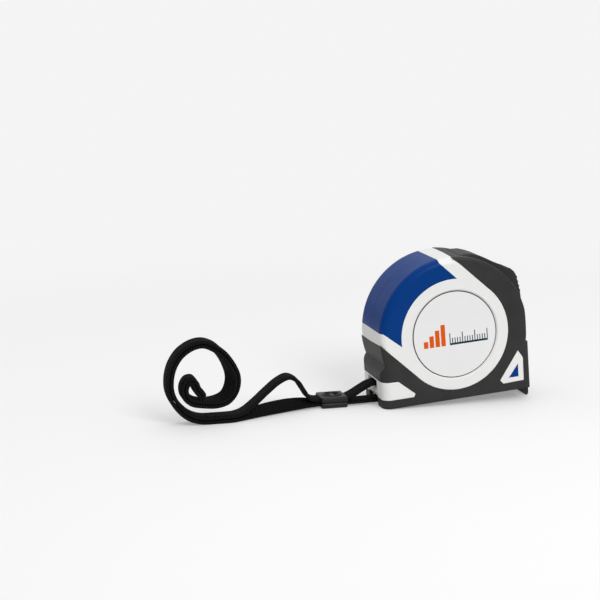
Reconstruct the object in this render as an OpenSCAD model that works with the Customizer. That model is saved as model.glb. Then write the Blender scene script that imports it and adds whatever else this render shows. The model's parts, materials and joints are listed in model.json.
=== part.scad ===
// Pocket tape measure with a wrist strap, standing on its heel and its end hook.
// The case pieces are drawn level, with X along the blade from the reel axis, Z up from the base
// and Y across the blade from the joint between the shells; standing() then sets the case down.

/* [Case] */
// Radius of the rounded back and top
case_radius = 34.2; // [33:0.1:42]
// Thickness across the blade
case_thickness = 30; // [27:0.5:38]
// How far the flat base cuts into the circle of the case
chin = 5; // [4.5:0.1:6]
// How far the flat front is cut into the circle
front_inset = 0.8; // [0:0.1:1.5]
// How far the nose block stands out from the circle
nose_out = 0.2; // [0:0.1:1]
// How far the heel stands out behind the circle
heel_out = 0.5; // [0:0.1:2]
// Height of the nose block above the base
nose_top = 21; // [18:0.5:24]
// Height of the heel bulge above the base
heel_top = 20.2; // [19:0.1:22]
// Radius of the heel bulge
heel_round = 5.6; // [4:0.1:7]
// Thickness of the coloured outer layer
skin = 1.6; // [1.2:0.1:2]
// Thickness of the shell wall under it
wall = 1.6; // [1.2:0.1:2]
// Rounding of the hard shell's rim
rim_round = 3.2; // [2.5:0.1:6]
// Rounding of the rubber grip's rim
grip_round = 1.4; // [1:0.1:2.5]

/* [Face] */
// Radius of the label recess
label_radius = 19.5; // [15:0.5:20]
// Gap round the label
label_gap = 0.45; // [0.2:0.05:0.8]
// Depth of the label recess
label_depth = 1.2; // [0.9:0.1:1.4]
// How far the label lies below the face
label_set_back = 0.4; // [0.1:0.1:0.6]
// Bevel of the recess edge
label_bevel = 0.6; // [0.2:0.1:0.8]
// Width of the white ring round the label
ring_width = 5.3; // [3:0.1:5.5]
// Width of the upper white band
upper_band = 6.1; // [4:0.1:7]
// Width of the lower white band where it leaves the ring
lower_band = 8; // [5:0.1:9]

/* [Reel] */
// Room between the blade coil and the case wall, where the lock arm moves
lock_room = 9.3; // [8.8:0.1:10]
// Thickness of the wound blade
coil_depth = 4; // [2:0.5:6]
// Thickness of the drum's rim
drum_rim = 1.5; // [1:0.1:2]
// Radius of the centre post
post_radius = 3.5; // [3:0.1:4.5]
// Radial clearance of the drum on the post
post_clearance = 0.06; // [0.03:0.01:0.1]
// Turns of the power spring
spring_turns = 5; // [3:1:7]

/* [Blade] */
// Width of the blade
blade_width = 16; // [13:0.5:19]
// Thickness of the coated blade
blade_thickness = 0.2; // [0.15:0.01:0.3]
// Height of the blade's arch across its width
blade_arch = 1.4; // [1:0.1:1.6]
// Gap between the blade and its coil
blade_gap = 0.3; // [0.2:0.05:0.5]

/* [Hook] */
// Thickness of the end hook
hook_thickness = 0.7; // [0.6:0.1:0.8]
// How far the hook reaches below the base
hook_drop = 6.1; // [4:0.1:8]
// Length of the tongue that is riveted to the blade
hook_tongue = 8.5; // [8:0.1:10]
// Play of the hook on its rivets
hook_play = 0.8; // [0.5:0.1:1]
// Radius of the rivet shanks
rivet_radius = 0.9; // [0.7:0.1:1]

/* [Lock] */
// Slope of the lock's travel below the horizontal
lock_slope = 55; // [50:1:60]
// Travel of the lock
lock_travel = 4; // [3:0.5:4]
// Width of the lock button
button_width = 12; // [10:0.5:14]

/* [Belt clip] */
// Width of the belt clip
clip_width = 18; // [14:1:22]
// Space behind the belt clip
clip_space = 4.4; // [4.2:0.1:6]
// Thickness of the belt clip
clip_thickness = 0.9; // [0.7:0.1:1.2]

/* [Strap] */
// Width of the woven strap
strap_width = 8; // [6:0.5:9]
// Thickness of the woven strap
strap_thickness = 1.7; // [1.4:0.1:1.8]
// Radius of the bar that holds the strap
bar_radius = 2.8; // [2:0.1:3]

/* [Hidden] */
$fn = 96;

white_plastic = [0.93, 0.94, 0.95];
blue_plastic = [0.05, 0.15, 0.55];
black_rubber = [0.09, 0.09, 0.10];
steel = [0.72, 0.73, 0.75];

// Case, from the driving sizes
half_case = case_thickness / 2;
axis_z = case_radius - chin;
front_x = case_radius - front_inset;
nose_x = case_radius + nose_out;
rear_x = -(case_radius + heel_out);
shell_depth = skin + wall;
cavity_radius = case_radius - shell_depth;
half_cavity = half_case - shell_depth;
heel_corner = 4;
nose_corner = 2;
far = 3 * case_radius;
cut = 1;

// Face pattern
ring_radius = label_radius + ring_width;
crease_radius = case_radius - 1.4;
// The edge of a white band towards the grip is a line at a distance from the reel axis, square to
// an angle. It just cuts the ring, and leans outwards behind the face by the last angle.
ring_cut = 0.05;
upper_far_edge = [ring_radius - ring_cut, 45, -2.9];
lower_far_edge = [ring_radius - ring_cut, 224.5, -2];
// Its edge towards the blue panel is such a line too, and turns along the case wall at the wall
// angle once it is past the crease.
upper_near_edge = [ring_radius + 0.3 - upper_band, 44.5, 99.5];
lower_near_edge = [ring_radius + 0.9 - lower_band, 229.6, 170.4];
plate_low = 3.9;
plate_high = 12;
badge_depth = 0.8;

// Reel and blade
coil_radius = cavity_radius - lock_room;
drum_radius = coil_radius - coil_depth;
half_blade = blade_width / 2;
web = 1;
arch_radius = (half_blade * half_blade + blade_arch * blade_arch) / (2 * blade_arch);
blade_edge_z = axis_z - coil_radius - blade_gap;
blade_top_z = blade_edge_z - blade_arch;
blade_low_z = blade_top_z - blade_thickness;
bumper = 0.8;
bumper_gap = 0.2;
hook_x = nose_x + bumper + bumper_gap;
end_gap = 0.4;
blade_end = hook_x - end_gap;
slip = 0.1;
tongue_width = 9;
tongue_low_z = blade_top_z + blade_arch * pow(tongue_width / blade_width, 2) + slip;
tongue_high_z = tongue_low_z + hook_thickness;
rivet_head = 0.4;
rivet_xs = [hook_x - hook_tongue + 2.2, hook_x - 2.8];
mouth_gap = 0.4;
half_mouth = half_blade + mouth_gap;
mouth_low = shell_depth;
mouth_plate_thickness = 0.8;
mouth_room = 1.5;
mouth_high = tongue_high_z + rivet_head + mouth_room;
hook_step = 0.5;
hook_width = blade_width - 2 * hook_step;
hook_high = tongue_high_z + 1.1;

// Lock, in its own directions: s along the travel and h out from the reel axis
button_sink = 0.4;
seat_h = case_radius - button_sink;
brow_depth = 3;
brow_half = 8.4;
brow_step = 0.7;
half_button = button_width / 2;
pocket_gap = 0.5;
rib_count = 4;
rib_step = [1.9, -0.87];
rib_radius = 0.55;
rib_gap = 0.6;
button_low_s = -9.7;
button_high_s = 12.2;
lock_drop = lock_travel * sin(lock_slope);
arm_gap = 1.7;
arm_depth = 2.4;
arm_half = 4;
arm_in = coil_radius + arm_gap;
arm_out = arm_in + arm_depth;
neck_half = 2;
neck_gap = 0.6;
neck_low_s = -2.6;
neck_length = 4;
neck_low_h = arm_in + 0.6;
arm_half_angle = 40;
shoe_length = 4;
shoe_angle = 30;
shoe_x = arm_in * cos(shoe_angle);
pad_thickness = 1.2;
pad_gap = 0.15;
pad_z = blade_edge_z + lock_drop + pad_gap;

// Screws that hold the shells together, from the rear
boss_radius = 2.2;
boss_gap = 0.5;
screw_radius = 1;
screw_head_radius = 1.9;
boss_ring = cavity_radius - boss_radius - 0.9;
low_boss_z = blade_edge_z + boss_radius + blade_gap;
low_boss_x = sqrt(pow(coil_radius + boss_radius + boss_gap, 2) - pow(axis_z - low_boss_z, 2));
boss_places = [
    [boss_ring * cos(62), axis_z + boss_ring * sin(62)],
    [boss_ring * cos(208), axis_z + boss_ring * sin(208)],
    [low_boss_x, low_boss_z]
];

// Belt clip on the rear face
clip_screw_z = axis_z + 20;
clip_reach = clip_space + clip_thickness;

// Strap bar in its recess at the heel
bar_x = rear_x + 3;
bar_z = 5.4;
recess_half = strap_width / 2 + 2;
recess_wall = 1.2;
recess_x = bar_x + bar_radius + strap_thickness + 0.7;
recess_high = bar_z + bar_radius + strap_thickness + 1.4;

// Where the case stands: heel edge and hook tip are both on the ground
rest_tilt = atan(hook_drop / (hook_x + hook_thickness - rear_x));
low_x = -rear_x * cos(rest_tilt) - axis_z * sin(rest_tilt) - case_radius;
high_x = (hook_x + hook_thickness - rear_x) * cos(rest_tilt) + hook_drop * sin(rest_tilt);
heel_at = -(low_x + high_x) / 2;
mid_y = -clip_reach / 2;

module standing() {
    translate([heel_at, mid_y, 0])
        rotate([0, -rest_tilt, 0])
            translate([-rear_x, 0, 0])
                children();
}

// A profile drawn in X and Z, from one Y to another
module across(from_y, to_y) {
    translate([0, to_y, 0])
        rotate([90, 0, 0])
            linear_extrude(to_y - from_y)
                children();
}

// A profile drawn in Y and Z, from one X to another
module along(from_x, to_x) {
    translate([from_x, 0, 0])
        rotate([90, 0, 90])
            linear_extrude(to_x - from_x)
                children();
}

// The reel axis, pointing towards the label
module on_axis() {
    translate([0, 0, axis_z])
        rotate([90, 0, 0])
            children();
}

// A profile drawn along the lock's travel and outwards from the axis
module on_lock() {
    translate([0, axis_z])
        rotate(-lock_slope)
            children();
}

module front_half() {
    intersection() {
        children();
        translate([-far, -far, -far])
            cube([2 * far, far, 2 * far]);
    }
}

module rear_half() {
    intersection() {
        children();
        translate([-far, 0, -far])
            cube([2 * far, far, 2 * far]);
    }
}

// ---- Case body ----

// Side profile of the nose and heel blocks, which fill out the foot of the round body
module foot_outline(inset) {
    translate([0, inset])
        square([nose_x - inset, nose_top - 2 * inset]);
    translate([rear_x + inset, inset])
        square([-rear_x - inset, heel_top - heel_round - inset]);
    translate([rear_x + heel_round, heel_top - heel_round])
        circle(heel_round - inset);
}

module foot_plan(inset, half) {
    low = rear_x + inset;
    high = nose_x - inset;
    translate([low + heel_corner, -half])
        square([high - low - heel_corner - nose_corner, 2 * half]);
    translate([low, -half + heel_corner])
        square([heel_corner + cut, 2 * (half - heel_corner)]);
    translate([high - nose_corner - cut, -half + nose_corner])
        square([nose_corner + cut, 2 * (half - nose_corner)]);
    for (side = [-1, 1]) {
        translate([low + heel_corner, side * (half - heel_corner)])
            circle(heel_corner);
        translate([high - nose_corner, side * (half - nose_corner)])
            circle(nose_corner);
    }
}

module round_body(radius, half, rounding) {
    on_axis()
        rotate_extrude() {
            translate([0, -half])
                square([radius - rounding, 2 * half]);
            translate([0, rounding - half])
                square([radius, 2 * (half - rounding)]);
            for (side = [-1, 1])
                translate([radius - rounding, side * (half - rounding)])
                    circle(rounding);
        }
}

module case_body(inset, rounding) {
    half = half_case - inset;
    intersection() {
        round_body(case_radius - inset, half, rounding);
        translate([-far, -far, inset])
            cube([far + front_x - inset, 2 * far, far]);
    }
    intersection() {
        across(-far, far)
            foot_outline(inset);
        linear_extrude(nose_top)
            foot_plan(inset, half);
    }
}

module core() {
    case_body(skin, rim_round - skin);
}

module cavity() {
    case_body(shell_depth, 1);
}

// ---- Face pattern ----

function edge_line(edge, turn) =
    let (side = turn * sqrt(pow(crease_radius, 2) - pow(edge[0], 2)))
        [
            edge[0] * [cos(edge[1]), sin(edge[1])],
            edge[0] * [cos(edge[1]), sin(edge[1])] + side * [-sin(edge[1]), cos(edge[1])],
            far * [cos(edge[2]), sin(edge[2])]
        ];
function backward(list) = [for (k = [len(list) - 1:-1:0]) list[k]];

module band(near_edge, far_edge, turn) {
    intersection() {
        across(-far, far)
            translate([0, axis_z])
                polygon(concat(
                    edge_line(near_edge, turn), [far * [cos(far_edge[1]), sin(far_edge[1])]]
                ));
        translate([0, 0, axis_z])
            rotate([0, -far_edge[1], 0])
                translate([far_edge[0] - half_case * tan(far_edge[2]), 0, 0]) {
                    translate([-far, 0, -far])
                        cube([far, far, 2 * far]);
                    rotate([0, 0, far_edge[2]])
                        translate([-far, -far, -far])
                            cube([far, far, 2 * far]);
                }
    }
}

module corner_plate_outline() {
    polygon([
        [rear_x - cut, plate_high],
        [rear_x + 7.2, plate_high - 0.2],
        [rear_x + 14.6, plate_low + 1.4],
        [rear_x + 13.9, plate_low],
        [rear_x - cut, plate_low]
    ]);
}

module badge_outline() {
    polygon([
        [nose_x - 5.5, 17.8],
        [nose_x - 3.3, 14.3],
        [nose_x - 3.4, plate_low],
        [nose_x - 13.2, plate_low - 0.3],
        [nose_x - 14.6, plate_low + 1.4]
    ]);
}

module badge_insert_outline() {
    polygon([[nose_x - 5.8, 11.8], [nose_x - 5.8, 5.9], [nose_x - 10.4, 5.9]]);
}

module white_pattern() {
    across(-far, far) {
        translate([0, axis_z])
            circle(ring_radius);
        corner_plate_outline();
        badge_outline();
    }
    band(upper_near_edge, upper_far_edge, 1);
    band(lower_near_edge, lower_far_edge, -1);
}

module blue_outline() {
    difference() {
        translate([0, axis_z])
            polygon(concat(edge_line(upper_near_edge, 1), backward(edge_line(lower_near_edge, -1))));
        translate([0, axis_z])
            circle(ring_radius);
    }
}

// ---- Openings in the case ----

module mouth_cut() {
    along(nose_x - shell_depth - cut, nose_x + cut)
        translate([-half_mouth, mouth_low])
            square([2 * half_mouth, mouth_high - mouth_low]);
}

module recess_space(grow) {
    translate([rear_x - cut, -recess_half - grow, -cut])
        cube([recess_x - rear_x + cut + grow, 2 * (recess_half + grow), recess_high + cut + grow]);
}

module neck_slot() {
    half = neck_half + neck_gap / 2;
    across(-half, half)
        on_lock()
            translate([neck_low_s - neck_gap, cavity_radius - 2])
                square([neck_length + 2 * neck_gap + lock_travel, shell_depth + 4]);
}

module button_pocket() {
    across(-half_button - pocket_gap, half_button + pocket_gap)
        on_lock()
            translate([button_low_s - pocket_gap, cavity_radius])
                square([button_high_s - button_low_s + 2 * pocket_gap, far]);
}

module label_recess() {
    on_axis() {
        translate([0, 0, half_case - label_depth])
            cylinder(r = label_radius, h = label_depth + cut);
        translate([0, 0, half_case - label_bevel])
            cylinder(
                r1 = label_radius, r2 = label_radius + label_bevel + cut, h = label_bevel + cut
            );
    }
}

module badge_recess() {
    for (side = [-1, 1])
        translate([0, side * half_case, 0])
            across(-badge_depth, badge_depth)
                badge_insert_outline();
}

module screw_cut(radius, from_y, to_y) {
    for (place = boss_places)
        translate([place[0], from_y, place[1]])
            rotate([-90, 0, 0])
                cylinder(r = radius, h = to_y - from_y);
}

// ---- Case pieces ----

module hard_shell() {
    difference() {
        union() {
            core();
            intersection() {
                case_body(0, rim_round);
                white_pattern();
            }
        }
        difference() {
            cavity();
            recess_space(recess_wall);
            screw_cut(boss_radius, -half_case, half_case);
        }
        mouth_cut();
        recess_space(0);
        neck_slot();
        badge_recess();
    }
    translate([bar_x, -recess_half - recess_wall / 2, bar_z])
        rotate([-90, 0, 0])
            cylinder(r = bar_radius, h = 2 * recess_half + recess_wall);
}

module front_shell() {
    color(white_plastic)
        standing()
            difference() {
                front_half()
                    hard_shell();
                label_recess();
                screw_cut(screw_radius, skin + cut - half_case, cut);
            }
}

module rear_shell() {
    color(white_plastic)
        standing()
            difference() {
                rear_half()
                    hard_shell();
                screw_cut(screw_radius + slip, -cut, half_case + cut);
                screw_cut(screw_head_radius + slip, half_case - skin, half_case + cut);
                translate([0, half_case - shell_depth - cut, clip_screw_z])
                    rotate([-90, 0, 0])
                        cylinder(r = screw_radius, h = shell_depth + 2 * cut);
            }
}

// Raised part of the grip above the lock
module brow(sink, half) {
    across(-half, half)
        on_lock()
            polygon([
                [button_low_s, case_radius - brow_depth],
                [button_low_s, case_radius + 0.4 - sink],
                [-12.6, case_radius - 0.5 - sink],
                [-15, case_radius - 1.6 - sink],
                [-17.6, case_radius - 3.1 - sink],
                [-20.5, case_radius - 5.3 - sink],
                [-23.8, case_radius - 9.5 - sink],
                [-20.5, case_radius - 5.3 - brow_depth]
            ]);
}

module grip_body() {
    difference() {
        union() {
            case_body(0, grip_round);
            brow(0, brow_half);
            brow(brow_step, brow_half + 2 * brow_step);
        }
        core();
        white_pattern();
        across(-far, far)
            blue_outline();
        mouth_cut();
        recess_space(0);
        button_pocket();
        screw_cut(screw_head_radius + slip, 0, half_case + cut);
    }
}

module front_grip() {
    color(black_rubber)
        standing()
            front_half()
                grip_body();
}

module rear_grip() {
    color(black_rubber)
        standing()
            rear_half()
                grip_body();
}

module panel_body() {
    intersection() {
        difference() {
            case_body(0, rim_round);
            core();
        }
        across(-half_case, half_case)
            blue_outline();
    }
}

module front_panel() {
    color(blue_plastic)
        standing()
            front_half()
                panel_body();
}

module rear_panel() {
    color(blue_plastic)
        standing()
            rear_half()
                panel_body();
}

module front_label() {
    color([0.88, 0.89, 0.90])
        standing()
            on_axis()
                translate([0, 0, half_case - label_depth])
                    cylinder(r = label_radius - label_gap, h = label_depth - label_set_back);
}

module badge_insert(side) {
    color(blue_plastic)
        standing()
            translate([0, side * (half_case - badge_depth / 2), 0])
                across(-badge_depth / 2, badge_depth / 2)
                    badge_insert_outline();
}

module front_badge() {
    badge_insert(-1);
}

module rear_badge() {
    badge_insert(1);
}

module case_screws() {
    color(steel)
        standing() {
            screw_cut(screw_radius, -half_cavity + cut, half_case - skin);
            screw_cut(screw_head_radius, half_case - skin, half_case - 0.3);
        }
}

module mouth_plate() {
    color(steel)
        standing()
            translate([nose_x - 10, -half_mouth, mouth_low])
                cube([10, 2 * half_mouth, mouth_plate_thickness]);
}

module nose_bumper() {
    color(black_rubber)
        standing()
            along(nose_x, nose_x + bumper)
                difference() {
                    translate([-half_mouth - 1.6, 1.2])
                        square([2 * half_mouth + 3.2, mouth_high + 2.2]);
                    translate([-half_mouth, mouth_low])
                        square([2 * half_mouth, mouth_high - mouth_low]);
                }
}

// ---- Belt clip ----

// Y and Z of the clip's case side, from the screwed tab down to the lead-in lip
clip_line = [
    [0, clip_screw_z + 5],
    [0, clip_screw_z - 5],
    [clip_space, clip_screw_z - 9],
    [clip_space - 0.1, axis_z - 6],
    [0.8, 14],
    [2.6, 10]
];

function turned(v) = [v[1], -v[0]] / norm(v);
function edge_way(line, k) = line[min(k + 1, len(line) - 1)] - line[max(k - 1, 0)];
function ribbon(line, depth) = concat(
    line,
    [for (k = [len(line) - 1:-1:0]) line[k] - depth * turned(edge_way(line, k))]
);

module belt_clip() {
    color(steel)
        standing()
            difference() {
                translate([0, half_case, 0])
                    along(-clip_width / 2, clip_width / 2)
                        polygon(ribbon(clip_line, clip_thickness));
                translate([0, half_case - cut, clip_screw_z])
                    rotate([-90, 0, 0])
                        cylinder(r = screw_radius + slip, h = clip_space);
            }
}

module clip_screw() {
    color(steel)
        standing()
            translate([0, 0, clip_screw_z])
                rotate([-90, 0, 0]) {
                    translate([0, 0, half_cavity + 0.3])
                        cylinder(r = screw_radius, h = shell_depth + clip_thickness);
                    translate([0, 0, half_case + clip_thickness])
                        cylinder(r = screw_head_radius + 0.6, h = 1.2);
                }
}

// ---- Reel ----

module centre_post() {
    color([0.55, 0.56, 0.58])
        standing()
            difference() {
                on_axis()
                    cylinder(r = post_radius, h = 2 * half_cavity, center = true);
                translate([0, -half_blade + 2 * web, axis_z - 0.5])
                    cube([far, blade_width - 4 * web, 1]);
            }
}

spring_thickness = 0.4;
spring_steps = 20;
spring_outer = drum_radius - drum_rim - spring_thickness - 0.1;
function spring_radius(turn) =
    post_radius + 0.3 + (spring_outer - post_radius - 0.3) * turn / spring_turns;
function spring_point(k, out) =
    (spring_radius(k / spring_steps) + out)
    * [cos(360 * k / spring_steps), sin(360 * k / spring_steps)];

module power_spring() {
    last = spring_turns * spring_steps;
    color([0.35, 0.37, 0.42])
        standing()
            translate([0, 0, axis_z])
                rotate([90, 0, 0])
                    linear_extrude(blade_width - 4 * web, center = true)
                        polygon(concat(
                            [for (k = [0:last]) spring_point(k, spring_thickness)],
                            [for (k = [last:-1:0]) spring_point(k, 0)]
                        ));
}

module reel_disc(outer, from_z, depth) {
    translate([0, 0, from_z])
        difference() {
            cylinder(r = outer, h = depth);
            translate([0, 0, -cut])
                cylinder(r = post_radius + post_clearance, h = depth + 2 * cut);
        }
}

module reel_drum() {
    color([0.85, 0.86, 0.82])
        standing()
            on_axis() {
                difference() {
                    cylinder(r = drum_radius, h = blade_width, center = true);
                    cylinder(r = drum_radius - drum_rim, h = blade_width + cut, center = true);
                }
                reel_disc(drum_radius - drum_rim / 2, -half_blade, web);
            }
}

module drum_cover() {
    color([0.8, 0.8, 0.78])
        standing()
            on_axis()
                reel_disc(drum_radius - drum_rim, half_blade - web, web);
}

module blade_coil() {
    color([0.93, 0.80, 0.12])
        standing()
            on_axis()
                difference() {
                    cylinder(r = coil_radius, h = blade_width, center = true);
                    cylinder(r = drum_radius, h = blade_width + cut, center = true);
                }
}

// ---- Blade and hook ----

module rivet_holes(radius, low, high) {
    for (x = rivet_xs)
        translate([x, 0, low])
            cylinder(r = radius, h = high - low);
}

module blade_strip() {
    color([0.93, 0.80, 0.12])
        standing()
            difference() {
                along(0, blade_end)
                    intersection() {
                        translate([0, blade_top_z + arch_radius])
                            difference() {
                                circle(arch_radius + blade_thickness, $fn = 360);
                                circle(arch_radius, $fn = 360);
                            }
                        translate([-half_blade, 0])
                            square([blade_width, blade_edge_z]);
                    }
                rivet_holes(rivet_radius, 0, case_radius);
            }
}

module hook_rivets() {
    color(steel)
        standing() {
            rivet_holes(rivet_radius, blade_low_z - rivet_head, tongue_high_z + slip + rivet_head);
            rivet_holes(rivet_radius + 0.7, blade_low_z - rivet_head, blade_low_z);
            rivet_holes(
                rivet_radius + 0.7, tongue_high_z + slip, tongue_high_z + slip + rivet_head
            );
        }
}

module hook_plate_outline() {
    half = hook_width / 2;
    corner = 2;
    translate([-half, corner - hook_drop])
        square([hook_width, hook_high + hook_drop - corner]);
    translate([corner - half, -hook_drop])
        square([hook_width - 2 * corner, corner + cut]);
    for (side = [-1, 1])
        translate([side * (half - corner), corner - hook_drop])
            circle(corner);
}

module end_hook() {
    slot = rivet_radius + slip;
    color([0.16, 0.16, 0.17])
        standing() {
            along(hook_x, hook_x + hook_thickness)
                hook_plate_outline();
            difference() {
                translate([hook_x - hook_tongue, -tongue_width / 2, tongue_low_z])
                    cube([hook_tongue + hook_thickness / 2, tongue_width, hook_thickness]);
                for (back = [0, hook_play])
                    translate([-back, 0, 0])
                        rivet_holes(slot, 0, case_radius);
                for (x = rivet_xs)
                    translate([x - hook_play, -slot, 0])
                        cube([hook_play, 2 * slot, case_radius]);
            }
        }
}

// ---- Lock ----

module lock_button() {
    color(black_rubber)
        standing() {
            across(-half_button, half_button)
                on_lock()
                    polygon([
                        [button_low_s, seat_h],
                        [button_low_s, seat_h + 0.9],
                        [-7.2, seat_h + 2.6],
                        [-2.6, seat_h + 4.5],
                        [-2, seat_h + 5.4],
                        [0.2, seat_h + 5.9],
                        [2.2, seat_h + 5.7],
                        [4.8, seat_h + 4.6],
                        [9.6, seat_h + 2.4],
                        [button_high_s, seat_h + 0.9],
                        [button_high_s, seat_h - 2.1],
                        [8, seat_h - 0.9],
                        [4, seat_h - 0.2],
                        [2, seat_h]
                    ]);
            for (k = [0:rib_count - 1])
                across(rib_gap - half_button, half_button - rib_gap)
                    on_lock()
                        translate([3.4, seat_h + 5.2] + k * rib_step)
                            circle(rib_radius, $fn = 24);
        }
}

module lock_arm() {
    reach = 1.3 * arm_out;
    shoe_z = pad_z + pad_thickness;
    join_angle = shoe_angle - 3;
    color([0.2, 0.2, 0.22])
        standing() {
            across(-arm_half, arm_half) {
                intersection() {
                    translate([0, axis_z])
                        difference() {
                            circle(arm_out);
                            circle(arm_in);
                        }
                    translate([0, axis_z])
                        polygon([
                            [0, 0],
                            reach * [cos(shoe_angle), -sin(shoe_angle)],
                            [reach, 0],
                            reach * [cos(arm_half_angle), sin(arm_half_angle)]
                        ]);
                }
                polygon([
                    [shoe_x, shoe_z],
                    [shoe_x + shoe_length, shoe_z],
                    [shoe_x + shoe_length, shoe_z + 3],
                    [arm_out * cos(join_angle), axis_z - arm_out * sin(join_angle)],
                    [arm_in * cos(join_angle), axis_z - arm_in * sin(join_angle)]
                ]);
            }
            across(-neck_half, neck_half)
                on_lock()
                    translate([neck_low_s, neck_low_h])
                        square([neck_length, seat_h - neck_low_h]);
        }
}

module brake_pad() {
    color(black_rubber)
        standing()
            translate([shoe_x, -half_blade + 1, pad_z])
                cube([shoe_length, blade_width - 2, pad_thickness]);
}

// ---- Strap ----

// The strap is drawn from the ground point under the heel edge, in the middle of the case.
// The clasp lies on the ground round both strands, which run through it one above the other.
clasp_right = -14;
clasp_left = -26;
clasp_y = -0.75;
clasp_wall = 1.5;
clasp_low = 0.7;
clasp_high = 5;
clasp_seam = 2.5;
clasp_roof = 4.3;
clasp_room = strap_width + 0.3;

module behind_heel() {
    translate([heel_at, mid_y, 0])
        children();
}

// Each point is X, Y and Z of the strap's middle. The anchor loop goes round the bar in the heel.
anchor_route = [
    [-14, -0.75, 3.4], [-10.5, -0.55, 4.8], [-6.5, -0.35, 7], [-2.5, -0.15, 8.9], [2.5, 0, 9.6],
    [5.35, 0, 8.45], [6.5, 0, 5.65], [5.35, 0, 2.85], [2.5, 0, 1.7], [-3.5, -0.15, 1.6],
    [-8.5, -0.55, 1.6], [-14, -0.75, 1.6]
];
upper_route = [
    [-14, -0.75, 3.4], [-20, -0.75, 3.4], [-26, -0.75, 3.4], [-29, -1.35, 3.9], [-31.7, -2.35, 5.6],
    [-34.3, -3.35, 9.4], [-37.3, -4.45, 13.6], [-41.5, -5.75, 15.7], [-46.5, -7.25, 14.2],
    [-52, -8.95, 10.6], [-57, -10.45, 6.9], [-62, -12.05, 3.8], [-66, -13.25, 2.75]
];
lower_route = [
    [-14, -0.75, 1.6], [-26, -0.75, 1.6], [-31.5, -1.85, 1.7], [-38.5, -3.85, 1.7],
    [-46.5, -6.35, 1.3], [-54.5, -9.05, 0.9], [-62, -11.75, 0.85], [-66, -13.15, 0.85]
];
// Middle of the two strands where they lie together, from the merge to the folded end
doubled_route = [
    [-69.5, -13.95, 1.75], [-75.5, -14.05, 1.75], [-81.5, -14.05, 2], [-86.8, -14.05, 4],
    [-91.2, -14.05, 8.2], [-94.1, -14.05, 13.6], [-94.7, -14.05, 19], [-93.5, -14.05, 25],
    [-90.3, -14.05, 30.3], [-85.5, -14.05, 33.7], [-80.5, -14.05, 34.7], [-75.8, -14.05, 32.9],
    [-71.9, -14.05, 29.3], [-69, -14.05, 24.6], [-67.3, -14.05, 19.5], [-67.9, -14.05, 14.5],
    [-70.5, -14.05, 10.6], [-75, -14.05, 8.9], [-80.5, -14.05, 8.9], [-85, -14.05, 9.9],
    [-87.9, -14.05, 12.6], [-88.4, -14.05, 16], [-87.1, -14.05, 18.7], [-85.3, -14.05, 19.2],
    [-83.9, -14.05, 17.6], [-82.9, -14.05, 15], [-81.1, -14.05, 12.9]
];
strand_step = 0.9;

// Half outline of the strap's rounded section, as shares of its width and thickness
strap_section = [
    [0.5, 0.2], [0.42, 0.5], [-0.42, 0.5], [-0.5, 0.2],
    [-0.5, -0.2], [-0.42, -0.5], [0.42, -0.5], [0.5, -0.2]
];

function unit(v) = v / norm(v);
function run_at(route, k) = unit(route[min(k + 1, len(route) - 1)] - route[max(k - 1, 0)]);
// The strap's width stays as level as its run allows
function side_at(run) = unit([0, 1, 0] - run[1] * run);
function beside(route, step) = [
    for (k = [0:len(route) - 1])
        let (run = run_at(route, k))
            route[k] + step * cross(run, side_at(run))
];

module strap_tube(route) {
    sides = len(strap_section);
    last = len(route) - 1;
    corners = [
        for (k = [0:last])
            let (run = run_at(route, k), side = side_at(run), rise = cross(run, side))
                for (corner = strap_section)
                    route[k] + corner[0] * strap_width * side + corner[1] * strap_thickness * rise
    ];
    walls = [
        for (k = [0:last - 1])
            for (j = [0:sides - 1])
                [
                    k * sides + j,
                    k * sides + (j + 1) % sides,
                    (k + 1) * sides + (j + 1) % sides,
                    (k + 1) * sides + j
                ]
    ];
    first_end = [for (j = [sides - 1:-1:0]) j];
    last_end = [for (j = [0:sides - 1]) last * sides + j];
    polyhedron(points = corners, faces = concat(walls, [first_end], [last_end]));
}

module clasp_half(low, high) {
    difference() {
        translate([clasp_left, clasp_y - clasp_room / 2 - clasp_wall, low])
            cube([clasp_right - clasp_left, clasp_room + 2 * clasp_wall, high - low]);
        translate([clasp_left - cut, clasp_y - clasp_room / 2, clasp_low])
            cube([clasp_right - clasp_left + 2 * cut, clasp_room, clasp_roof - clasp_low]);
    }
}

module strap_clasp_base() {
    color(black_rubber)
        behind_heel()
            clasp_half(0, clasp_seam);
}

module strap_clasp_cap() {
    color(black_rubber)
        behind_heel()
            clasp_half(clasp_seam, clasp_high);
}

module strap_anchor() {
    color(black_rubber)
        behind_heel()
            strap_tube(anchor_route);
}

module strap_upper() {
    color(black_rubber)
        behind_heel()
            strap_tube(concat(upper_route, beside(doubled_route, -strand_step)));
}

module strap_lower() {
    color(black_rubber)
        behind_heel()
            strap_tube(concat(lower_route, beside(doubled_route, strand_step)));
}

front_shell();
rear_shell();
front_grip();
rear_grip();
front_panel();
rear_panel();
front_label();
front_badge();
rear_badge();
case_screws();
mouth_plate();
nose_bumper();
belt_clip();
clip_screw();
centre_post();
power_spring();
reel_drum();
drum_cover();
blade_coil();
blade_strip();
hook_rivets();
end_hook();
lock_button();
lock_arm();
brake_pad();
strap_clasp_base();
strap_clasp_cap();
strap_anchor();
strap_upper();
strap_lower();
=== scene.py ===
"""Looks of the pocket tape measure with a wrist strap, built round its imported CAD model."""

import json
import math

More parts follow.
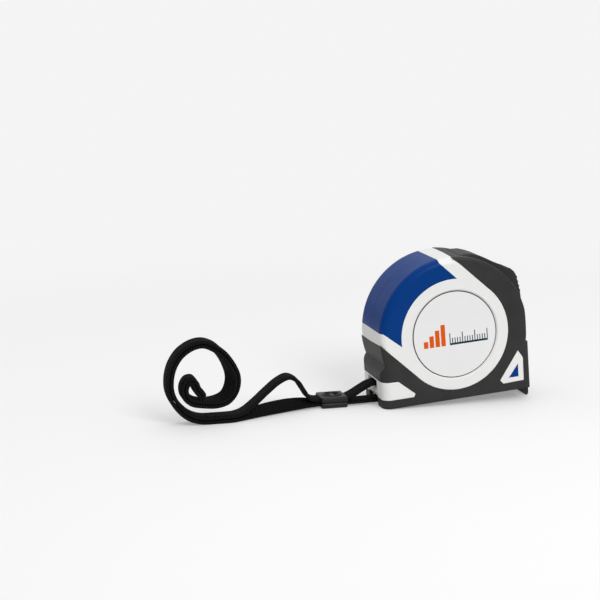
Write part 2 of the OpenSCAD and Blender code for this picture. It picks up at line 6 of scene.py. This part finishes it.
import bmesh
import bpy
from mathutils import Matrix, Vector


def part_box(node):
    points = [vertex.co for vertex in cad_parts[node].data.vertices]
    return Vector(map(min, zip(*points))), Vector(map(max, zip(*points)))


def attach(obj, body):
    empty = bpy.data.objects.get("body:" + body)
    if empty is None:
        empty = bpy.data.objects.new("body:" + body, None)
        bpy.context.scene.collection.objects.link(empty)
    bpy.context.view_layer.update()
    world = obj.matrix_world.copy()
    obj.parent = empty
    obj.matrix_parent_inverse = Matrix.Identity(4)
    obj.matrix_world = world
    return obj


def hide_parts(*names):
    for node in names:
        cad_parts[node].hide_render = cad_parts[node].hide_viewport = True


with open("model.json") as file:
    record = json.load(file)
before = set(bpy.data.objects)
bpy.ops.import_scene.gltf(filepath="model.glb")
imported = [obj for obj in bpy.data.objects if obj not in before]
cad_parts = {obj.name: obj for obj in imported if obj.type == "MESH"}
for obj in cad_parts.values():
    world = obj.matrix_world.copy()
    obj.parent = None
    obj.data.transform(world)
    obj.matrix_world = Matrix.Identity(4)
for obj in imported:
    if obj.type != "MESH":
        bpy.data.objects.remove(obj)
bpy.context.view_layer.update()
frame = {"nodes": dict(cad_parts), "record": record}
scene = bpy.context.scene
MM = 0.001

# ---- Places taken from the frame ----

label_low, label_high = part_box("front_label")
shell_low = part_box("front_shell")[0]
blade_low, blade_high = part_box("blade_strip")
blade_middle = (blade_low.y + blade_high.y) / 2
disc = Vector(((label_low.x + label_high.x) / 2, shell_low.y, (label_low.z + label_high.z) / 2))
axes = {joint["name"]: joint["axis"] for joint in frame["record"]["behaviour"]["joints"]}
level = Vector(axes["blade_pull"])
upright = Vector((-level.z, 0, level.x))
tilt = math.atan2(level.z, level.x)


# ---- Camera ----

CAMERA_FROM_DISC = Vector((-0.220, -0.5655, 0.1338))
CAMERA_FIELD = 24
CAMERA_DOWN = 11.11
CAMERA_TURN = 14.83


def make_camera():
    data = bpy.data.cameras.new("camera")
    data.angle = math.radians(CAMERA_FIELD)
    data.clip_start = 0.01
    data.clip_end = 20
    camera = bpy.data.objects.new("camera", data)
    camera.location = disc + CAMERA_FROM_DISC
    camera.rotation_euler = (math.radians(90 - CAMERA_DOWN), 0, math.radians(-CAMERA_TURN))
    scene.collection.objects.link(camera)
    scene.camera = camera


make_camera()


# ---- Strap ----

# The routes of the CAD model in millimetres, with the lower strand raised a little so that it can roll.
# A fourth value is the roll of the strap at that point, in degrees.

STRAP_WIDTH = 8
STRAP_THICKNESS = 1.7
STRAND_STEP = 0.9
CURVE_PARTS = 6
ANCHOR_ROUTE = [
    (-48.5, -3.4, 3.4), (-45, -3.2, 4.8), (-41, -3, 7), (-37, -2.8, 8.9), (-32, -2.65, 9.6),
    (-29.15, -2.65, 8.45), (-28, -2.65, 5.65), (-29.15, -2.65, 2.85), (-32, -2.65, 1.7),
    (-38, -2.8, 1.6), (-43, -3.2, 1.6), (-48.5, -3.4, 1.6),
]
UPPER_ROUTE = [
    (-48.5, -3.4, 3.4), (-54.5, -3.4, 3.4), (-60.5, -3.4, 3.4), (-63.5, -4, 3.9), (-66.2, -5, 5.6),
    (-68.8, -6, 9.4), (-71.8, -7.1, 13.6), (-76, -8.4, 15.7), (-81, -9.9, 14.2),
    (-86.5, -11.6, 10.6), (-91.5, -13.1, 6.9), (-96.5, -14.7, 3.8), (-100.5, -15.9, 2.75),
]
LOWER_ROUTE = [
    (-48.5, -3.4, 1.6), (-60.5, -3.4, 1.6), (-66, -4.5, 2.3, -12), (-73, -6.5, 2.6, -22),
    (-81, -9, 2.5, -24), (-89, -11.7, 2.1, -18), (-96.5, -14.4, 1.3, -7), (-100.5, -15.8, 0.85),
]
DOUBLED_ROUTE = [
    (-104, -16.6, 1.75), (-110, -16.7, 1.75), (-116, -16.7, 2), (-121.3, -16.7, 4),
    (-125.7, -16.7, 8.2), (-128.6, -16.7, 13.6), (-129.2, -16.7, 19), (-128, -16.7, 25),
    (-124.8, -16.7, 30.3), (-120, -16.7, 33.7), (-115, -16.7, 34.7), (-110.3, -16.7, 32.9),
    (-106.4, -16.7, 29.3, -8), (-103.5, -16.7, 24.6, -16), (-101.8, -16.7, 19.5, -24),
    (-102.4, -16.7, 14.5, -26), (-105, -16.7, 10.6, -18), (-109.5, -16.7, 8.9, -8),
    (-115, -16.7, 8.9), (-119.5, -16.7, 9.9),
    (-122.4, -16.7, 12.6), (-122.9, -16.7, 16), (-121.6, -16.7, 18.7), (-119.8, -16.7, 19.2),
    (-118.4, -16.7, 17.6), (-117.4, -16.7, 15), (-115.6, -16.7, 12.9),
]


def points_of(route):
    """Each point with the roll of the strap there, in degrees."""
    return [Vector((*point[:3], point[3] if len(point) > 3 else 0)) for point in route]


def run_at(points, k):
    """The direction in which the strap runs at a point."""
    return (points[min(k + 1, len(points) - 1)] - points[max(k - 1, 0)]).to_3d().normalized()


def side_at(run, roll=0.0):
    """The direction of the strap's width, as level as its run allows before it rolls."""
    level_side = (Vector((0, 1, 0)) - run.y * run).normalized()
    turn = math.radians(roll)
    return math.cos(turn) * level_side + math.sin(turn) * run.cross(level_side)


def beside(points, step):
    """The points moved by a step through the strap's thickness, each with its own roll."""
    found = []
    for k, point in enumerate(points):
        run = run_at(points, k)
        rise = run.cross(side_at(run, point.w))
        found.append(point + Vector((*(step * rise), 0)))
    return found


def smooth(points):
    """A Catmull-Rom curve through the points."""
    last = len(points) - 1
    found = []
    for k in range(last):
        a, b = points[max(k - 1, 0)], points[k]
        c, d = points[k + 1], points[min(k + 2, last)]
        for j in range(CURVE_PARTS):
            t = j / CURVE_PARTS
            found.append(0.5 * (
                2 * b + t * (c - a) + t * t * (2 * a - 5 * b + 4 * c - d)
                + t ** 3 * (3 * b - a - 3 * c + d)
            ))
    found.append(points[last])
    return found


def strap_outline():
    """Half-round-edged section of the strap as (across, through) shares, once round."""
    found = []
    edge = 0.5 * STRAP_THICKNESS / STRAP_WIDTH
    half_flat = 0.5 - edge
    flat_steps = 9
    edge_steps = 6
    for side in (1, -1):
        for k in range(flat_steps):
            found.append((side * half_flat * (1 - 2 * k / flat_steps), side * 0.5))
        for k in range(edge_steps):
            turn = math.pi * k / edge_steps
            found.append((-side * (half_flat + math.sin(turn) * edge), side * 0.5 * math.cos(turn)))
    return found


def strap_mesh(name, points):
    """A tube along the points, with U along the strap and V across it."""
    section = strap_outline()
    mesh = bpy.data.meshes.new(name)
    bm = bmesh.new()
    rings = []
    for k, point in enumerate(points):
        run = run_at(points, k)
        side = side_at(run, point.w)
        rise = run.cross(side)
        rings.append([
            bm.verts.new((
                point.to_3d() + across * STRAP_WIDTH * side + through * STRAP_THICKNESS * rise
            ) * MM)
            for across, through in section
        ])
    layer = bm.loops.layers.uv.new("along_across")
    gone = 0
    for k in range(len(rings) - 1):
        step = (points[k + 1] - points[k]).to_3d().length
        for j in range(len(section)):
            i = (j + 1) % len(section)
            face = bm.faces.new((rings[k][j], rings[k][i], rings[k + 1][i], rings[k + 1][j]))
            for loop, (u, n) in zip(face.loops, ((0, j), (0, i), (1, i), (1, j))):
                loop[layer].uv = (gone + u * step, section[n][0] * STRAP_WIDTH)
        gone += step
    bm.faces.new(list(reversed(rings[0])))
    bm.faces.new(rings[-1])
    bmesh.ops.recalc_face_normals(bm, faces=bm.faces)
    bm.to_mesh(mesh)
    bm.free()
    mesh.shade_smooth()
    made = bpy.data.objects.new(name, mesh)
    scene.collection.objects.link(made)
    return made


def fold_after(points):
    """The turn that takes the outer strand round to the end of the inner one."""
    steps = 8
    run = run_at(points, len(points) - 1)
    rise = run.cross(side_at(run))
    middle = points[-1].to_3d()
    return [
        Vector((*(middle + STRAND_STEP * (math.cos(turn) * rise + math.sin(turn) * run)), 0))
        for turn in (math.pi * k / steps for k in range(1, steps))
    ]


def make_straps():
    doubled = points_of(DOUBLED_ROUTE)
    outer = beside(doubled, STRAND_STEP)
    inner = beside(doubled, -STRAND_STEP)
    first = smooth(points_of(ANCHOR_ROUTE) + points_of(LOWER_ROUTE)[1:] + outer)
    first += fold_after(doubled)
    second = smooth(points_of(UPPER_ROUTE) + inner)
    made = []
    for name, points, nodes in (
        ("strap_long_strand", first, ("strap_anchor", "strap_lower")),
        ("strap_short_strand", second, ("strap_upper",)),
    ):
        strap = strap_mesh(name, points)
        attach(strap, "case")
        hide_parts(*nodes)
        made.append(strap)
    return made


straps = make_straps()


# ---- Materials ----

def ranged(tree, value, reads, gives):
    """A node that carries a value from one range to another."""
    made = tree.nodes.new("ShaderNodeMapRange")
    tree.links.new(value, made.inputs["Value"])
    for name, number in zip(("From Min", "From Max", "To Min", "To Max"), (*reads, *gives)):
        made.inputs[name].default_value = number
    return made


class Look:
    """A material whose edges shade as if rounded, with the nodes that its surface needs."""

    def __init__(self, name, colour, roughness, metallic=0.0, specular=0.5, soften=0.35):
        self.data = bpy.data.materials.new(name)
        self.data.use_nodes = True
        self.nodes = self.data.node_tree.nodes
        self.shader = self.nodes["Principled BSDF"]
        self.shader.inputs["Base Color"].default_value = (*colour, 1)
        self.shader.inputs["Roughness"].default_value = roughness
        self.shader.inputs["Metallic"].default_value = metallic
        self.shader.inputs["Specular IOR Level"].default_value = specular
        self.normal = None
        if soften:
            rounded = self.node("ShaderNodeBevel", samples=6)
            rounded.inputs["Radius"].default_value = soften * MM
            self.set_normal(rounded.outputs["Normal"])

    def node(self, kind, **settings):
        made = self.nodes.new(kind)
        for name, value in settings.items():
            setattr(made, name, value)
        return made

    def link(self, output, entry):
        self.data.node_tree.links.new(output, entry)

    def set_normal(self, output):
        self.normal = output
        self.link(output, self.shader.inputs["Normal"])

    def place(self, scale, turn=0.0, source="Object"):
        """Coordinates of the object or of a UV map, scaled, with the turn that the case has."""
        if source == "Object":
            start = self.node("ShaderNodeTexCoord").outputs["Object"]
        else:
            start = self.node("ShaderNodeUVMap", uv_map=source).outputs["UV"]
        mapping = self.node("ShaderNodeMapping")
        self.link(start, mapping.inputs["Vector"])
        mapping.inputs["Scale"].default_value = scale
        mapping.inputs["Rotation"].default_value = (0, turn, 0)
        return mapping.outputs["Vector"]

    def noise(self, vector, detail=3.0):
        made = self.node("ShaderNodeTexNoise")
        made.inputs["Scale"].default_value = 1
        made.inputs["Detail"].default_value = detail
        self.link(vector, made.inputs["Vector"])
        return made.outputs["Fac"]

    def maths(self, operation, a, b=None):
        made = self.node("ShaderNodeMath", operation=operation)
        for entry, value in zip(made.inputs, (a, b)):
            if isinstance(value, (int, float)):
                entry.default_value = value
            elif value is not None:
                self.link(value, entry)
        return made.outputs["Value"]

    def bump(self, height, distance):
        """Relief of a depth in millimetres."""
        made = self.node("ShaderNodeBump")
        made.inputs["Strength"].default_value = 1
        made.inputs["Distance"].default_value = distance * MM
        self.link(height, made.inputs["Height"])
        if self.normal:
            self.link(self.normal, made.inputs["Normal"])
        self.set_normal(made.outputs["Normal"])

    def tint(self, factor, low, high):
        """Base colour between two colours."""
        made = self.node("ShaderNodeMix", data_type="RGBA")
        self.link(factor, made.inputs[0])
        made.inputs[6].default_value = (*low, 1)
        made.inputs[7].default_value = (*high, 1)
        self.link(made.outputs[2], self.shader.inputs["Base Color"])

    def vary_roughness(self, factor, low, high):
        made = ranged(self.data.node_tree, factor, (0, 1), (low, high))
        self.link(made.outputs["Result"], self.shader.inputs["Roughness"])


def grained(name, colour, roughness, grain, depth, worn=False, **settings):
    """Plastic or rubber with a fine moulded grain, its size in millimetres."""
    patch = 9
    spread = 0.08
    darkest = 0.55
    lightest = 1.45
    look = Look(name, colour, roughness, **settings)
    look.bump(look.noise(look.place((1 / (grain * MM),) * 3)), depth)
    wide = look.noise(look.place((1 / (patch * MM),) * 3), 4.0)
    look.vary_roughness(wide, roughness - spread, roughness + spread)
    if worn:
        look.tint(wide, [darkest * share for share in colour], [lightest * share for share in colour])
    return look


def brushed(name, colour, roughness, stretch):
    """Metal with fine streaks, stretched by a size in millimetres along each axis."""
    relief = 0.01
    smoother, rougher = 0.1, 0.12
    look = Look(name, colour, roughness, metallic=1.0, soften=0.15)
    streaks = look.noise(look.place(tuple(1 / (size * MM) for size in stretch), tilt))
    look.bump(streaks, relief)
    look.vary_roughness(streaks, roughness - smoother, roughness + rougher)
    return look


def make_webbing():
    """Woven tape: slanted ribs that meet in the middle; the colour is lighter on the raised ribs and
    darker in the gaps between the threads, as painted sheen and painted shade.
    """
    rib_pitch = 1.1
    rib_slant = 0.8
    thread_pitch = 0.8
    thread_share = 0.6
    relief = 0.3
    look = Look("webbing", (0.01, 0.01, 0.01), 0.8, specular=0.1, soften=0)
    split = look.node("ShaderNodeSeparateXYZ")
    look.link(look.place((1, 1, 1), source="along_across"), split.inputs["Vector"])
    along, over = split.outputs["X"], split.outputs["Y"]
    slant = look.maths("ADD", along, look.maths("MULTIPLY", look.maths("ABSOLUTE", over), rib_slant))
    ribs = look.maths("SINE", look.maths("MULTIPLY", slant, 2 * math.pi / rib_pitch))
    threads = look.maths("SINE", look.maths("MULTIPLY", over, 2 * math.pi / thread_pitch))
    weave = look.maths("ADD", ribs, look.maths("MULTIPLY", threads, thread_share))
    look.bump(weave, relief)
    # the weave reaches from minus to plus this, and the tint takes nearly all of it, so the raised ribs
    # carry painted sheen and the hollows painted shade
    reach = 1 + thread_share
    share = look.maths("MULTIPLY", look.maths("ADD", weave, reach), 0.3)
    look.tint(share, (0.0005, 0.0005, 0.0005), (0.016, 0.016, 0.0165))
    return look


# pitch of the marks, how far they reach in from the edge and how wide they are, in millimetres
BLADE_MARKS = ((1, 3.2, 0.22), (5, 4.6, 0.26), (10, 6.4, 0.34))
BLADE_HALF = 8


def make_blade_look():
    """Yellow coated blade with a mark every millimetre, longer every 5 and every 10."""
    coat = (0.86, 0.58, 0.03)
    ink = (0.01, 0.01, 0.01)
    before_zero = 200
    look = Look("blade_coat", coat, 0.32, soften=0)
    split = look.node("ShaderNodeSeparateXYZ")
    look.link(look.place((1 / MM,) * 3, tilt), split.inputs["Vector"])
    along = look.maths("ADD", split.outputs["X"], before_zero)
    off_middle = look.maths("ABSOLUTE", look.maths("SUBTRACT", split.outputs["Y"], blade_middle / MM))
    marks = None
    for pitch, length, width in BLADE_MARKS:
        near = look.maths("LESS_THAN", look.maths("MODULO", along, pitch), width)
        reach = look.maths("GREATER_THAN", off_middle, BLADE_HALF - length)
        mark = look.maths("MULTIPLY", near, reach)
        marks = mark if marks is None else look.maths("MAXIMUM", marks, mark)
    look.tint(marks, coat, ink)
    return look


def paint(obj, look):
    obj.data.materials.clear()
    obj.data.materials.append(look.data)


white = grained("white_plastic", (0.80, 0.80, 0.785), 0.42, 0.5, 0.006, specular=0.4)
black = grained(
    "black_rubber", (0.024, 0.024, 0.0235), 0.5, 0.35, 0.02, worn=True, specular=0.32, soften=0.6
)
blue = grained("blue_plastic", (0.0002, 0.038, 0.205), 0.33, 0.5, 0.001, specular=0.08, soften=0.6)
label = grained("label_film", (0.79, 0.79, 0.79), 0.45, 0.8, 0.004, specular=0.3, soften=0.15)
steel = brushed("steel", (0.62, 0.62, 0.64), 0.3, (4, 0.08, 4))
clip_steel = brushed("clip_steel", (0.60, 0.60, 0.61), 0.28, (0.07, 4, 5))
webbing = make_webbing()
hard_black = grained(
    "black_plastic", (0.013, 0.013, 0.014), 0.4, 0.6, 0.008, specular=0.3, soften=0.45
)
drum_plastic = grained("drum_plastic", (0.75, 0.76, 0.7), 0.45, 1, 0.004)
LOOKS = {
    "white_case": white, "black_grip": black, "blue_panel": blue, "label": label,
    "blue_badge": blue, "screw_steel": steel, "wear_plate": steel, "bumper_rubber": black,
    "spring_steel": clip_steel, "post_steel": steel, "mainspring": steel,
    "reel_plastic": drum_plastic, "blade": make_blade_look(), "rivet_steel": steel,
    "hook_steel": grained("hook_coat", (0.02, 0.02, 0.022), 0.38, 0.6, 0.006, soften=0.2),
    "lock_plastic": black, "brake_rubber": black, "clasp_plastic": hard_black,
    "strap_webbing": webbing,
}
for part in frame["record"]["subparts"]:
    paint(frame["nodes"][part["node"]], LOOKS[part["material_slot"]])
for strap in straps:
    paint(strap, webbing)


# ---- Small details on the case ----

def new_object(name, mesh, look):
    """A detail that rides the case."""
    made = bpy.data.objects.new(name, mesh)
    scene.collection.objects.link(made)
    paint(made, look)
    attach(made, "case")
    return made


def boxes_mesh(name, boxes):
    """Boxes in one mesh, each a middle and three half edges."""
    mesh = bpy.data.meshes.new(name)
    bm = bmesh.new()
    for middle, right, back, up in boxes:
        corners = [
            bm.verts.new(middle + i * right + j * back + k * up)
            for i in (-1, 1) for j in (-1, 1) for k in (-1, 1)
        ]
        for face in ((0, 1, 3, 2), (4, 6, 7, 5), (0, 4, 5, 1), (2, 3, 7, 6), (0, 2, 6, 4), (1, 5, 7, 3)):
            bm.faces.new([corners[n] for n in face])
    bmesh.ops.recalc_face_normals(bm, faces=bm.faces)
    bm.to_mesh(mesh)
    bm.free()
    return mesh


def on_label(u, v):
    """A point of the label's face, in millimetres from its middle along and up the case."""
    return Vector((disc.x, label_low.y, disc.z)) + MM * (u * level + v * upright)


def print_bar(low_u, high_u, low_v, high_v):
    """A thin bar on the label between two places on its face."""
    half_depth = 0.02
    return (
        on_label((low_u + high_u) / 2, (low_v + high_v) / 2),
        level * (high_u - low_u) / 2 * MM, Vector((0, half_depth * MM, 0)),
        upright * (high_v - low_v) / 2 * MM,
    )


def make_label_print():
    """A plain ruler mark: stepped orange bars beside a dark scale."""
    base = -4.6
    step_left, step_width, step_pitch = -14.6, 2, 2.7
    step_top, step_rise = -1.6, 2.2
    scale_left, scale_right, scale_top = -2.6, 15.2, -3.7
    mark_base, mark_width, mark_pitch = -3.8, 0.4, 1.16
    long_mark, short_mark = 4.6, 2.4
    orange = Look("print_orange", (0.70, 0.095, 0.003), 0.5, specular=0.1, soften=0)
    teal = Look("print_teal", (0.008, 0.035, 0.05), 0.5, specular=0.1, soften=0)
    steps = []
    for k in range(4):
        left = step_left + step_pitch * k
        steps.append(print_bar(left, left + step_width, base, step_top + step_rise * k))
    new_object("label_print_steps", boxes_mesh("label_print_steps", steps), orange)
    scale = [print_bar(scale_left, scale_right, base, scale_top)]
    for k in range(16):
        left = scale_left + mark_pitch * k
        rise = long_mark if k % 5 == 0 else short_mark
        scale.append(print_bar(left, left + mark_width, mark_base, mark_base + rise))
    new_object("label_print_scale", boxes_mesh("label_print_scale", scale), teal)


def ring_mesh(name, middle, low, high, right, up):
    """A flat ring between two radii."""
    steps = 96
    mesh = bpy.data.meshes.new(name)
    bm = bmesh.new()
    turns = [2 * math.pi * k / steps for k in range(steps)]
    circles = [
        [bm.verts.new(middle + radius * (math.cos(t) * right + math.sin(t) * up)) for t in turns]
        for radius in (low, high)
    ]
    for k in range(steps):
        n = (k + 1) % steps
        bm.faces.new((circles[0][k], circles[0][n], circles[1][n], circles[1][k]))
    bm.normal_update()
    bm.to_mesh(mesh)
    bm.free()
    return mesh


def make_label_gap():
    """Dark ring painted in the gap between the label and its recess: painted shade in the groove."""
    sunk = 0.25
    inner_gap, outer_gap = 0.01, 0.44
    radius = (label_high.x - label_low.x) / 2
    middle = Vector((disc.x, label_low.y + sunk * MM, disc.z))
    # painted shade: a dark ring where the groove round the label falls into shadow
    groove_shade = Look("label_groove_shade", (0.03, 0.03, 0.035), 0.6, specular=0.2, soften=0)
    mesh = ring_mesh(
        "label_groove_shade_ring", middle, radius + inner_gap * MM, radius + outer_gap * MM, level, upright
    )
    new_object("label_groove_shade_ring", mesh, groove_shade)


def rounded_block(name, low, high, rounding):
    """A block with rounded edges between two corners in millimetres."""
    mesh = bpy.data.meshes.new(name)
    bm = bmesh.new()
    bmesh.ops.create_cube(bm, size=1)
    for vert in bm.verts:
        vert.co = Vector(
            (low[n] + (vert.co[n] + 0.5) * (high[n] - low[n])) * MM for n in range(3)
        )
    bmesh.ops.bevel(
        bm, geom=bm.edges[:] + bm.verts[:], offset=rounding * MM, segments=5, profile=0.5,
        affect="EDGES", clamp_overlap=True,
    )
    bm.to_mesh(mesh)
    bm.free()
    mesh.shade_smooth()
    return mesh


def cut_through(block, cutter):
    """Take the cutter's shape out of the block."""
    change = block.modifiers.new("channel", "BOOLEAN")
    change.operation = "DIFFERENCE"
    change.object = cutter
    view = bpy.context.evaluated_depsgraph_get()
    view.update()
    mesh = bpy.data.meshes.new_from_object(block.evaluated_get(view))
    block.modifiers.clear()
    block.data = mesh
    mesh.shade_smooth()


def make_clasp_half(node):
    """A rounded half of the clasp, with the strap's channel cut through it."""
    rounding = 0.8
    past_end = 1
    side_wall = 1.5
    channel_low, channel_high, channel_rounding = 0.7, 4.3, 0.4
    low, high = (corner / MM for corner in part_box(node))
    block = new_object(
        node + "_rounded", rounded_block(node, low, high, rounding), hard_black
    )
    room = rounded_block(
        "channel", (low.x - past_end, low.y + side_wall, channel_low),
        (high.x + past_end, high.y - side_wall, channel_high), channel_rounding,
    )
    cutter = bpy.data.objects.new("channel", room)
    scene.collection.objects.link(cutter)
    cut_through(block, cutter)
    bpy.data.objects.remove(cutter)
    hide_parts(node)


def make_clasp_loop(middle, top):
    """The raised oval loop on the clasp."""
    half_length, half_width, thickness, sunk = 3.9, 3.1, 0.65, 0.15
    steps, sides = 40, 10
    bm = bmesh.new()
    rings = []
    for k in range(steps):
        turn = 2 * math.pi * k / steps
        out = Vector((math.cos(turn), math.sin(turn), 0))
        at = Vector((middle.x + half_length * out.x, middle.y + half_width * out.y, top - sunk))
        ring = []
        for n in range(sides):
            lean = 2 * math.pi * n / sides
            ring.append(bm.verts.new(
                (at + thickness * (math.cos(lean) * out + math.sin(lean) * Vector((0, 0, 1)))) * MM
            ))
        rings.append(ring)
    for k in range(steps):
        for n in range(sides):
            bm.faces.new((
                rings[k][n], rings[(k + 1) % steps][n],
                rings[(k + 1) % steps][(n + 1) % sides], rings[k][(n + 1) % sides],
            ))
    mesh = bpy.data.meshes.new("clasp_loop")
    bmesh.ops.recalc_face_normals(bm, faces=bm.faces)
    bm.to_mesh(mesh)
    bm.free()
    mesh.shade_smooth()
    new_object("clasp_loop", mesh, hard_black)


def make_latch_holes(middle, top):
    """The two holes inside the loop, drawn as thin dark plates of painted shade."""
    apart, half_length, half_width, half_depth = 1.7, 0.8, 1.5, 0.03
    # painted shade: near-black plates where the holes would be in shadow
    painted_shade_look = Look("latch_hole_painted_shade", (0.002, 0.002, 0.002), 0.8, specular=0.05, soften=0)
    holes = [
        (
            Vector((middle.x + side * apart, middle.y, top)) * MM, Vector((half_length * MM, 0, 0)),
            Vector((0, half_width * MM, 0)), Vector((0, 0, half_depth * MM)),
        )
        for side in (-1, 1)
    ]
    new_object("clasp_latch_hole_shade_plates", boxes_mesh("clasp_latch_hole_shade_plates", holes), painted_shade_look)


def make_clasp():
    """Two rounded halves round the strap, with a raised loop and two latch holes on top."""
    for node in ("strap_clasp_base", "strap_clasp_cap"):
        make_clasp_half(node)
    low, high = (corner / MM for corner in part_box("strap_clasp_cap"))
    middle = (low + high) / 2
    make_clasp_loop(middle, high.z)
    make_latch_holes(middle, high.z)


def make_screw_slot():
    """Crossed recess in the head of the belt clip's screw, drawn as two thin dark bars of painted shade.
    """
    half_length, half_width, half_depth = 1.5, 0.3, 0.03
    # painted shade: dark bars where the recess would be in shadow
    painted_shade_look = Look("screw_recess_painted_shade", (0.02, 0.02, 0.02), 0.6, soften=0)
    low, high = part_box("clip_screw")
    face = Vector(((low.x + high.x) / 2, high.y, (low.z + high.z) / 2))
    depth = Vector((0, half_depth * MM, 0))
    bars = [
        (face, half_length * MM * level, depth, half_width * MM * upright),
        (face, half_width * MM * level, depth, half_length * MM * upright),
    ]
    new_object("clip_screw_recess_shade_bars", boxes_mesh("clip_screw_recess_shade_bars", bars), painted_shade_look)


make_label_print()
make_label_gap()
make_clasp()
make_screw_slot()


# ---- Stage and light ----

BACKDROP = 0.91
LAMP_AIM = Vector((0, 0, 0.03))


def make_stage():
    """A floor that is lit near the object and turns into the plain backdrop further away."""
    reach = 40
    other_rays = 0.4
    near, far = 0.12, 0.5
    near_share = 0.3
    mesh = bpy.data.meshes.new("floor")
    mesh.from_pydata(
        [(-reach, -reach, 0), (reach, -reach, 0), (reach, reach, 0), (-reach, reach, 0)],
        [], [(0, 1, 2, 3)],
    )
    floor = bpy.data.objects.new("floor", mesh)
    scene.collection.objects.link(floor)
    look = Look("floor", (0.89, 0.89, 0.89), 0.7, specular=0.1, soften=0)
    tree = look.data.node_tree
    plain = look.node("ShaderNodeEmission")
    plain.inputs["Color"].default_value = (BACKDROP, BACKDROP, BACKDROP, 1)
    seen = look.node("ShaderNodeLightPath").outputs["Is Camera Ray"]
    dimmed = ranged(tree, seen, (0, 1), (other_rays, 1))
    look.link(dimmed.outputs["Result"], plain.inputs["Strength"])
    distance = look.node("ShaderNodeVectorMath", operation="LENGTH")
    look.link(look.node("ShaderNodeTexCoord").outputs["Object"], distance.inputs[0])
    plain_share = ranged(tree, distance.outputs["Value"], (near, far), (near_share, 1))
    plain_share.interpolation_type = "SMOOTHSTEP"
    mix = look.node("ShaderNodeMixShader")
    look.link(plain_share.outputs["Result"], mix.inputs[0])
    look.link(look.shader.outputs[0], mix.inputs[1])
    look.link(plain.outputs[0], mix.inputs[2])
    look.link(mix.outputs[0], look.nodes["Material Output"].inputs["Surface"])
    paint(floor, look)


def area_light(name, place, size, power):
    """A square lamp that looks at the object, in metres and watts."""
    data = bpy.data.lights.new(name, "AREA")
    data.shape = "RECTANGLE"
    data.size = size
    data.size_y = size
    data.energy = power
    lamp = bpy.data.objects.new(name, data)
    lamp.location = place
    lamp.rotation_euler = (LAMP_AIM - Vector(place)).to_track_quat("-Z", "Y").to_euler()
    scene.collection.objects.link(lamp)


def make_world():
    """Plain backdrop for the camera; for the object a dome that is brighter above than around.

    Mirrored light is weaker from the camera's side and stronger from behind the object.
    """
    horizon, overhead = 0.7, 0.98
    mirrored_front, mirrored_back = 0.3, 1.2
    world = bpy.data.worlds.new("studio")
    world.use_nodes = True
    tree = world.node_tree
    nodes, links = tree.nodes, tree.links
    shown = nodes["Background"]
    shown.inputs["Color"].default_value = (BACKDROP, BACKDROP, BACKDROP, 1)
    dome = nodes.new("ShaderNodeBackground")
    split = nodes.new("ShaderNodeSeparateXYZ")
    links.new(nodes.new("ShaderNodeTexCoord").outputs["Generated"], split.inputs["Vector"])
    height = ranged(tree, split.outputs["Z"], (0, 0.9), (horizon, overhead))
    depth = ranged(tree, split.outputs["Y"], (-0.3, 0.9), (mirrored_front, mirrored_back))
    rays = nodes.new("ShaderNodeLightPath")
    mirrored = nodes.new("ShaderNodeMix")
    links.new(rays.outputs["Is Glossy Ray"], mirrored.inputs[0])
    mirrored.inputs[2].default_value = 1
    links.new(depth.outputs["Result"], mirrored.inputs[3])
    strength = nodes.new("ShaderNodeMath")
    strength.operation = "MULTIPLY"
    links.new(height.outputs["Result"], strength.inputs[0])
    links.new(mirrored.outputs[0], strength.inputs[1])
    links.new(strength.outputs["Value"], dome.inputs["Strength"])
    choose = nodes.new("ShaderNodeMixShader")
    links.new(rays.outputs["Is Camera Ray"], choose.inputs[0])
    links.new(dome.outputs[0], choose.inputs[1])
    links.new(shown.outputs[0], choose.inputs[2])
    links.new(choose.outputs[0], nodes["World Output"].inputs["Surface"])
    scene.world = world


def make_light():
    make_world()
    area_light("key", (0.2, -0.85, 0.72), 0.5, 5.4)
    area_light("top", (0.1, 0.1, 0.9), 0.7, 1.1)
    scene.view_settings.view_transform = "Standard"


make_stage()
make_light()
